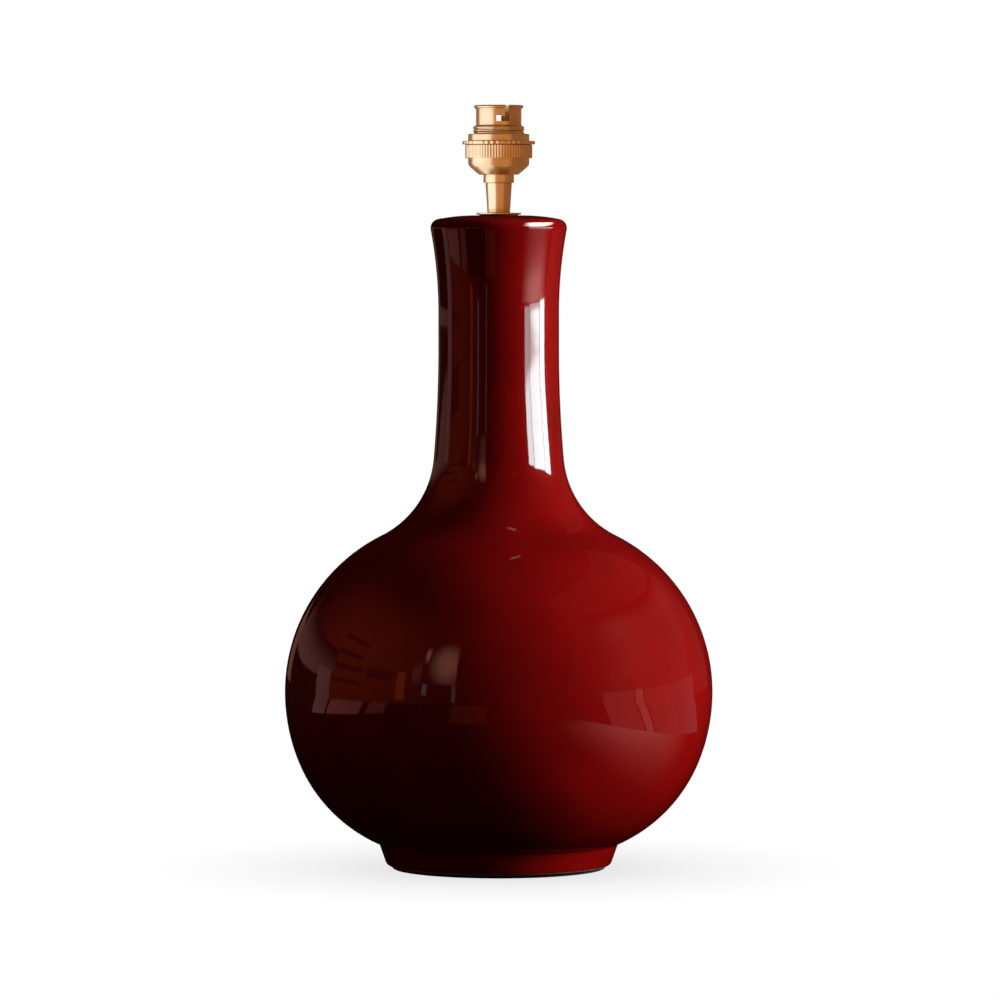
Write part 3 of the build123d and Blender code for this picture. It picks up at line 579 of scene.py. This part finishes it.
def plungerPin(side):
    size = dict(pin=2.1, dome=1.5, collarThick=1.2, collarEdge=0.2, tail=1.0, tailLong=2.2, tailEdge=0.3)
    low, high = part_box(f"plunger_{side}")
    collar = (high.x - low.x) / 2 / mm
    bottom, top = low.z / mm, high.z / mm
    seat = bottom + size["tailLong"]
    collarTop = seat + size["collarThick"]
    section = eased([
        (0, bottom, 0), (size["tail"], bottom, size["tailEdge"]), (size["tail"], seat, 0),
        (collar, seat, size["collarEdge"]), (collar, collarTop, size["collarEdge"]),
        (size["pin"], collarTop, 0), (size["pin"], top, size["dome"]), (0, top, 0),
    ], steps=8)
    made = turned(f"plunger_pin_{side}", section, facets=64)
    made.data.transform(Matrix.Translation(((low.x + high.x) / 2, 0, 0)))
    return made


def plungerSpring(side):  # round wire in an open coil between contact plate and plunger collar
    size = dict(wire=0.25, turns=4, sides=10, stepsPerTurn=40)
    low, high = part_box(f"plunger_spring_{side}")
    middle = (low + high) / 2 / mm
    radius = (high.x - low.x) / 2 / mm - size["wire"]
    bottom, top = low.z / mm + size["wire"], high.z / mm - size["wire"]
    made = bmesh.new()
    rings = []
    count = size["turns"] * size["stepsPerTurn"]
    for i in range(count + 1):
        angle = math.tau * i / size["stepsPerTurn"]
        out = Vector((math.cos(angle), math.sin(angle), 0))
        spot = Vector((middle.x, middle.y, bottom + (top - bottom) * i / count)) + out * radius
        ring = []
        for j in range(size["sides"]):
            spin = math.tau * j / size["sides"]
            offset = out * math.cos(spin) + Vector((0, 0, math.sin(spin)))
            ring.append(made.verts.new((spot + offset * size["wire"]) * mm))
        rings.append(ring)
    for here, there in zip(rings, rings[1:]):
        for j in range(size["sides"]):
            k = (j + 1) % size["sides"]
            made.faces.new((here[j], here[k], there[k], there[j]))
    made.faces.new(rings[0][::-1])
    made.faces.new(rings[-1])
    return piece(f"spring_{side}", made)


for side in ("left", "right"):
    fit(plungerPin(side), contactBrass, f"plunger_{side}", "contact_brass", f"plunger_{side}")
    coil = fit(plungerSpring(side), springSteel, "lamp_base", "spring_steel", f"plunger_spring_{side}")
    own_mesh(coil)

# The pieces that keep their CAD shape
plain = {
    nitrile: ["base_gasket"],
    zincPlate: ["base_washer", "base_lock_washer", "base_nut", "threaded_rod", "cap_grub_screw"],
    blackNylon: ["rod_end_bushes"],
    vulcanFibre: ["neck_gasket"],
    contactBrass: ["earth_screw", "contact_left", "contact_right", "terminal_screws"],
    porcelain: ["holder_insulator"],
}
for finish, names in plain.items():
    for name in names:
        frame["nodes"][name].data.materials.clear()
        frame["nodes"][name].data.materials.append(finish)
print("contacts and inner pieces done")


# Camera at the photo's angle, from a little above and far away

view = dict(side=0.69, away=3250, height=336.5, aim=198.2, lens=217.9, sensor=36, clip=50)
camera = bpy.data.objects.new("camera", bpy.data.cameras.new("camera"))
camera.data.lens = view["lens"]
camera.data.sensor_width = view["sensor"]
camera.data.clip_end = view["clip"]
camera.location = Vector((view["side"], -view["away"], view["height"])) * mm
aim = Vector((view["side"], 0, view["aim"])) * mm
camera.rotation_euler = (aim - camera.location).to_track_quat("-Z", "Y").to_euler()
scene.collection.objects.link(camera)
scene.camera = camera


# Light: a soft key from the right shades the forms, a back light serves the other sides, and a narrow
# light from above reaches into the lampholder

def onRing(bearing, distance, height):  # a place round the lamp in mm, bearing from the front to the right
    a = math.radians(bearing)
    return Vector((distance * math.sin(a), -distance * math.cos(a), height)) * mm


def aimLight(name, light, place, target):  # lights the lamp, and isn't seen itself
    obj = bpy.data.objects.new(name, light)
    obj.location = place
    obj.rotation_euler = (target - place).to_track_quat("-Z", "Y").to_euler()
    obj.visible_camera = False
    obj.visible_glossy = False
    scene.collection.objects.link(obj)


softbox = dict(aim=150, wide=700)
for name, bearing, elevation, distance, level in (
    ("key_softbox", 81.5, 15, 2000, 1.1),
    ("back_softbox", 180, 14, 1800, 0.5),
):
    light = bpy.data.lights.new(name, "AREA")
    light.size = softbox["wide"] * mm
    light.energy = level * (math.pi * distance * mm) ** 2  # level 1 shows a colour that faces it as written
    rise = math.radians(elevation)
    place = onRing(bearing, distance * math.cos(rise), softbox["aim"] + distance * math.sin(rise))
    aimLight(name, light, place, onRing(0, 0, softbox["aim"]))

snoot = dict(height=1500, aim=400, level=0.6, spread=1.4, blend=0.2)
light = bpy.data.lights.new("socket_snoot", "SPOT")
light.energy = snoot["level"] * (2 * math.pi * (snoot["height"] - snoot["aim"]) * mm) ** 2
light.spot_size = math.radians(snoot["spread"])
light.spot_blend = snoot["blend"]
aimLight("socket_snoot", light, onRing(0, 0, snoot["height"]), onRing(0, 0, snoot["aim"]))
print("camera and lights set")


# Stage: cards that only glossy surfaces see. A fade is (centre, reach, core, end), its places in degrees
# of bearing, mm of distance and mm of height: full light up to the core's share of the reach, and at the
# reach itself the end's share

def glow(name, hexColour, level, fades):  # even, or fading with bearing, distance and height
    made = bpy.data.materials.new(name)
    made.use_nodes = True
    made.cycles.emission_sampling = "NONE"
    tree = made.node_tree
    tree.nodes.clear()
    light = node(tree, "Emission", {"Color": linear(hexColour), "Strength": level})
    place = node(tree, "SeparateXYZ", {0: node(tree, "TexCoord").outputs["Object"]})
    ahead = node(tree, "Math", {0: place.outputs["Y"], 1: -1.0}, operation="MULTIPLY")
    bearing = node(tree, "Math", {0: place.outputs["X"], 1: ahead.outputs[0]}, operation="ARCTAN2")
    flat = node(tree, "CombineXYZ", {0: place.outputs["X"], 1: place.outputs["Y"]})
    away = node(tree, "VectorMath", {0: flat.outputs[0]}, operation="LENGTH")
    spot = node(tree, "CombineXYZ", {0: bearing.outputs[0], 1: away.outputs["Value"], 2: place.outputs["Z"]})
    units = Vector((math.radians(1), mm, mm))
    strength = level
    for centre, reach, core, end in fades:
        off = node(tree, "VectorMath", {0: spot.outputs[0], 1: Vector(centre) * units}, operation="SUBTRACT")
        part = node(tree, "VectorMath", {0: off.outputs[0], 1: Vector(reach) * units}, operation="DIVIDE")
        gone = node(tree, "VectorMath", {0: part.outputs[0]}, operation="LENGTH")
        share = node(
            tree, "MapRange", {0: gone.outputs["Value"], 1: core, 2: 1.0, 3: 1.0, 4: end},
            interpolation_type="SMOOTHSTEP",
        )
        strength = node(tree, "Math", {0: share.outputs[0], 1: strength}, operation="MULTIPLY").outputs[0]
        tree.links.new(strength, light.inputs["Strength"])
    node(tree, "OutputMaterial", {"Surface": light.outputs[0]})
    return made


def hang(name, made, hexColour, level, fades):  # a card seen in reflections and by nothing else
    obj = piece(name, made)
    obj.data.materials.append(glow(name, hexColour, level, fades))
    obj.visible_camera = False
    obj.visible_diffuse = False
    obj.visible_shadow = False
    obj.visible_transmission = False


# A curved upright strip, or a flat or sloping ring sector, round the axis
def card(name, hexColour, level, inner, outer, low, high, first, last, *fades):
    made = bmesh.new()
    flatTurn = 4  # degrees of each flat facet
    steps = max(1, round((last - first) / flatTurn))
    pairs = []
    for i in range(steps + 1):
        bearing = first + (last - first) * i / steps
        pairs.append([made.verts.new(onRing(bearing, r, z)) for r, z in ((inner, low), (outer, high))])
    for here, there in zip(pairs, pairs[1:]):
        made.faces.new((here[0], there[0], there[1], here[1]))
    hang(name, made, hexColour, level, fades)


def plate(name, hexColour, level, left, right, front, back, height, *fades):  # flat rectangle
    made = bmesh.new()
    corners = ((left, front), (right, front), (right, back), (left, back))
    made.faces.new([made.verts.new(Vector((x, y, height)) * mm) for x, y in corners])
    hang(name, made, hexColour, level, fades)


# Dim surround far off, so that the glaze stays deep, with a warm pool of light on the left
free = 1e6  # a reach so long that a light doesn't change that way
surround = dict(reach=2000, tall=4000, near=1990, hole=1)
layer = dict(ground=0.1, feet=0.2, board=0.3, shine=0.5)  # heights of the flat cards, one over the other
warmPool = ((-78, surround["reach"], 861), (68, free, 2300), 0.0, 0.0)
for name, hexColour, first, last, *fades in (
    ("front_flag", "#0C0908", -22, 50),
    ("right_flag", "#3A302D", 50, 150),
    ("back_flag", "#0E0A09", 150, 180),
    ("left_wash", "#C44526", -180, -22, warmPool),
):
    reach = surround["reach"]
    card(name, hexColour, 1.0, reach, reach, 0, surround["tall"], first, last, *fades)
for name, hexColour, height in (
    ("top_flag", "#060505", surround["tall"]),
    ("ground_flag", "#100B09", layer["ground"]),
):
    card(name, hexColour, 1.0, surround["hole"], surround["reach"], height, height, -180, 180)

# Panels in front of the left wash, the same for neck and body
for name, hexColour, level, low, high, first, last, *fades in (
    ("rear_strip", "#9A6A52", 0.65, 20, 380, -160, -150),
    ("dark_block", "#0A0A08", 1.0, 0, 265, -149, -113.5),
    ("grey_panel", "#A26C65", 1.0, 265, 720, -150, -113, ((-116, 0, 340), (60, free, 400), 0.0, 0.04)),
    ("grey_panel_end", "#A26C65", 1.0, 400, 720, -113, -99, ((-116, 0, 340), (60, free, 400), 0.0, 0.04)),
    ("rose_panel", "#C28780", 1.0, 0, 400, -113, -101),
    ("orange_strip", "#FF6522", 1.1, 74, 620, -55.5, -50.5),
    ("blue_strip", "#EDE0FF", 0.65, 190, 420, -40.6, -38),
    ("coral_strip", "#C86F5C", 1.0, 400, 900, -47, -42, ((-44.5, 0, 650), (12, free, 320), 0.15, 0.2)),
    ("pale_blob", "#FFA88B", 1.7, 430, 1500, -38, -22.5, ((-28, 0, 900), (12, free, 640), 0.2, 0.05)),
    ("pale_strip", "#FFB497", 1.6, 850, 1330, -41.3, -38.6, ((-40, 0, 1090), (6, free, 240), 0.2, 0.1)),
    ("pale_line", "#E8D8C8", 0.6, 60, 420, -24.3, -22.6),
    ("slat_1", "#6F211A", 1.0, 975, 1060, -100, -79),
    ("slat_2", "#6F211A", 1.0, 705, 790, -99, -81),
    ("slat_3", "#6F211A", 1.0, 475, 560, -100, -78),
    ("slat_4", "#6F211A", 1.0, 265, 330, -100, -79),
    ("dark_top", "#812620", 1.0, 420, 610, -75, -59),
):
    card(name, hexColour, level, surround["near"], surround["near"], low, high, first, last, *fades)
footStart = 300
for name, hexColour, first, last in (
    ("rose_foot", "#C28780", -113, -101),
    ("coral_foot", "#DC8078", -99, -75),
    ("coral_foot_small", "#B96057", -71, -60),
    ("brown_foot", "#8E3C20", -24, -6),
):
    card(name, hexColour, 1.0, footStart, surround["near"], layer["feet"], layer["feet"], first, last)

# Dark low board under the lamp, with a soft shine on the right, and low panes behind it
board = dict(left=-640, right=345, front=-440, back=500, shineLeft=20, shineBack=250, paneTop=200)
plate(
    "low_board", "#070504", 1.0,
    board["left"], board["right"], board["front"], board["back"], layer["board"],
)
plate(
    "board_shine", "#FFA49C", 1.65,
    board["shineLeft"], board["right"], board["front"], board["shineBack"], layer["shine"],
    ((70, 400, 0), (46, 285, free), 0.0, 0.0),
)
for name, hexColour, level, first, last in (
    ("low_pane_left", "#E67F7B", 1.0, 56, 75),
    ("low_pane_strip", "#FFA99C", 1.15, 76, 81.5),
    ("low_pane_right", "#D57068", 1.0, 82.5, 103),
    ("low_pane_far", "#7A6A68", 1.0, 103, 126),
):
    near = surround["near"]
    card(name, hexColour, level, board["right"], near, layer["feet"], layer["feet"], first, last)
    card(name + "_top", hexColour, level, near, near, 0, board["paneTop"], first, last)

# Tall strip lights on the right for the neck; a sloping flag hides them from the body
strip = dict(
    colour="#DCFBFE", first=50.5, last=96.5, columns=6, foot=205, flagNear=190, flagHigh=230, underNear=170,
    underDrop=0.5,
)
bend = dict(start=(300, 275), end=(450, 360), turn=(4.6, 6.2))  # on the leftmost and rightmost edge


def leaningStrip(name, level, low, high, first, last, *fades):  # upright, then leaning to the right
    made = bmesh.new()
    columns = []
    for i in range(strip["columns"] + 1):
        bearing = first + (last - first) * i / strip["columns"]
        share = (bearing - strip["first"]) / (strip["last"] - strip["first"])
        start, end, turn = (a + (b - a) * share for a, b in bend.values())
        rows = ((low, 0), (start, 0), (end, turn), (high, turn))
        columns.append([made.verts.new(onRing(bearing + lean, surround["near"], z)) for z, lean in rows])
    for here, there in zip(columns, columns[1:]):
        for j in range(len(here) - 1):
            made.faces.new((here[j], there[j], there[j + 1], here[j + 1]))
    hang(name, made, strip["colour"], level, fades)


dimFoot = ((84, surround["near"], 600), (57, free, 372), 0.9, 0.35)
for name, level, low, high, first, last, *fades in (
    ("strip_left", 18, 232, 600, 50.5, 60.3, dimFoot),
    ("strip_middle", 22, 214, 690, 61.2, 83.6, dimFoot),
    ("strip_right", 23, 207, 735, 84.8, 96.5),
):
    leaningStrip(name, level, low, high, first, last, *fades)
card(
    "strip_flag_top", "#FFDAD4", 3.3,
    strip["flagNear"], surround["reach"], strip["flagHigh"], strip["foot"], 38, 102,
    ((70, 0, 0), (29, free, free), 0.15, 0.0), ((0, 1300, 0), (free, 900, free), 0.5, 0.2),
)
card(
    "strip_flag_under", "#BC766C", 1.1, strip["underNear"], surround["reach"],
    strip["flagHigh"] - strip["underDrop"], strip["foot"] - strip["underDrop"], 36, 124,
    ((57, 215, 0), (22, 130, free), 0.1, 0.4), ((88, 0, 0), (42, free, free), 0.55, 0.2),
    ((0, 1500, 0), (free, 1330, free), 0.966, 0.0),
)

# A collar of bright cards for the brass, closed below so that the bottle doesn't see it
collar = dict(reach=150, low=351.5, high=470, near=14, gasket=12.3, underReach=152, gap=0.3)
reach, low, high = collar["reach"], collar["low"], collar["high"]
for name, hexColour, level, first, last in (
    ("collar_left", "#BECBFF", 2.9, -112, -27),
    ("collar_front", "#D8A484", 1.0, -27, 46),
    ("collar_right", "#A37664", 1.0, 46, 130),
    ("collar_back", "#B08A6A", 0.8, 130, 248),
):
    card(name, hexColour, level, reach, reach, low, high, first, last)
    card(name + "_floor", hexColour, level, collar["near"], reach, low, low, first, last)
under = low - collar["gap"]
card("collar_under", "#080505", 1.0, collar["gasket"], collar["underReach"], under, under, -180, 180)
card("collar_lid", "#C9A78C", 0.45, surround["hole"], reach, high, high, -180, 180)

# A small light over the lip, with a dark flag under it, so that only the lip sees it
lipCard = dict(near=37.4, far=64, high=under - collar["gap"], flagLow=343.4, first=2, last=88)
card(
    "lip_light", "#F4FFFF", 26, lipCard["near"], lipCard["far"], lipCard["high"], lipCard["high"],
    lipCard["first"], lipCard["last"], ((45, 40, 0), (21, 21, free), 0.45, 0.0),
)
card(
    "lip_flag", "#080505", 1.0, lipCard["near"], collar["underReach"],
    lipCard["flagLow"], lipCard["flagLow"], lipCard["first"], lipCard["last"],
)


# Pale floor and plain surround: white to the camera and to mirrors, quiet as a light

def seenDirectly(tree):  # 1 for rays from the camera, from glossy surfaces and through glass
    path = node(tree, "LightPath").outputs
    seen = path["Is Camera Ray"]
    for kind in ("Is Glossy Ray", "Is Transmission Ray"):
        seen = node(tree, "Math", {0: seen, 1: path[kind]}, operation="MAXIMUM").outputs[0]
    return seen


def paleFloor():  # white, with a soft shade where the lamp stands close
    look = dict(white="#FFFFFF", matt="#E8E6E3", shadeReach=110, shadeSpan=(0.2, 0.95), darkest=0.8)
    made = bpy.data.materials.new("pale_floor")
    made.use_nodes = True
    tree = made.node_tree
    tree.nodes.clear()
    shade = node(tree, "AmbientOcclusion", {"Distance": look["shadeReach"] * mm}, samples=16)
    low, high = look["shadeSpan"]
    soft = node(tree, "MapRange", {0: shade.outputs["AO"], 1: low, 2: high, 3: look["darkest"], 4: 1.0})
    bright = node(tree, "Emission", {"Color": linear(look["white"]), "Strength": soft.outputs[0]})
    matt = node(tree, "BsdfDiffuse", {"Color": linear(look["matt"])})
    both = node(tree, "MixShader", {0: seenDirectly(tree), 1: matt.outputs[0], 2: bright.outputs[0]})
    node(tree, "OutputMaterial", {"Surface": both.outputs[0]})
    return made


ground = dict(reach=20000, drop=0.05)  # the drop keeps it clear of the felt, which stands at zero
floorMesh = bmesh.new()
bmesh.ops.create_grid(floorMesh, x_segments=1, y_segments=1, size=ground["reach"] * mm)
floor = piece("floor", floorMesh)
floor.location.z = -ground["drop"] * mm
floor.data.materials.append(paleFloor())
floor.visible_diffuse = False

# A dim fill, with a little more light from above
studio = dict(white="#FFFFFF", blend=(-0.3, 0.3), fillLow=0.008, fillHigh=0.07)
world = bpy.data.worlds.new("studio")
scene.world = world
world.use_nodes = True
sky = world.node_tree
sky.nodes.clear()
skyWay = node(sky, "SeparateXYZ", {0: node(sky, "TexCoord").outputs["Generated"]}).outputs["Z"]
low, high = studio["blend"]
skyFill = node(sky, "MapRange", {0: skyWay, 1: low, 2: high, 3: studio["fillLow"], 4: studio["fillHigh"]})
skyLevel = node(sky, "Mix", {0: seenDirectly(sky), 2: skyFill.outputs[0], 3: 1.0})
skyLight = node(sky, "Background", {"Color": linear(studio["white"]), "Strength": skyLevel.outputs[0]})
node(sky, "OutputWorld", {"Surface": skyLight.outputs[0]})
print("stage set")
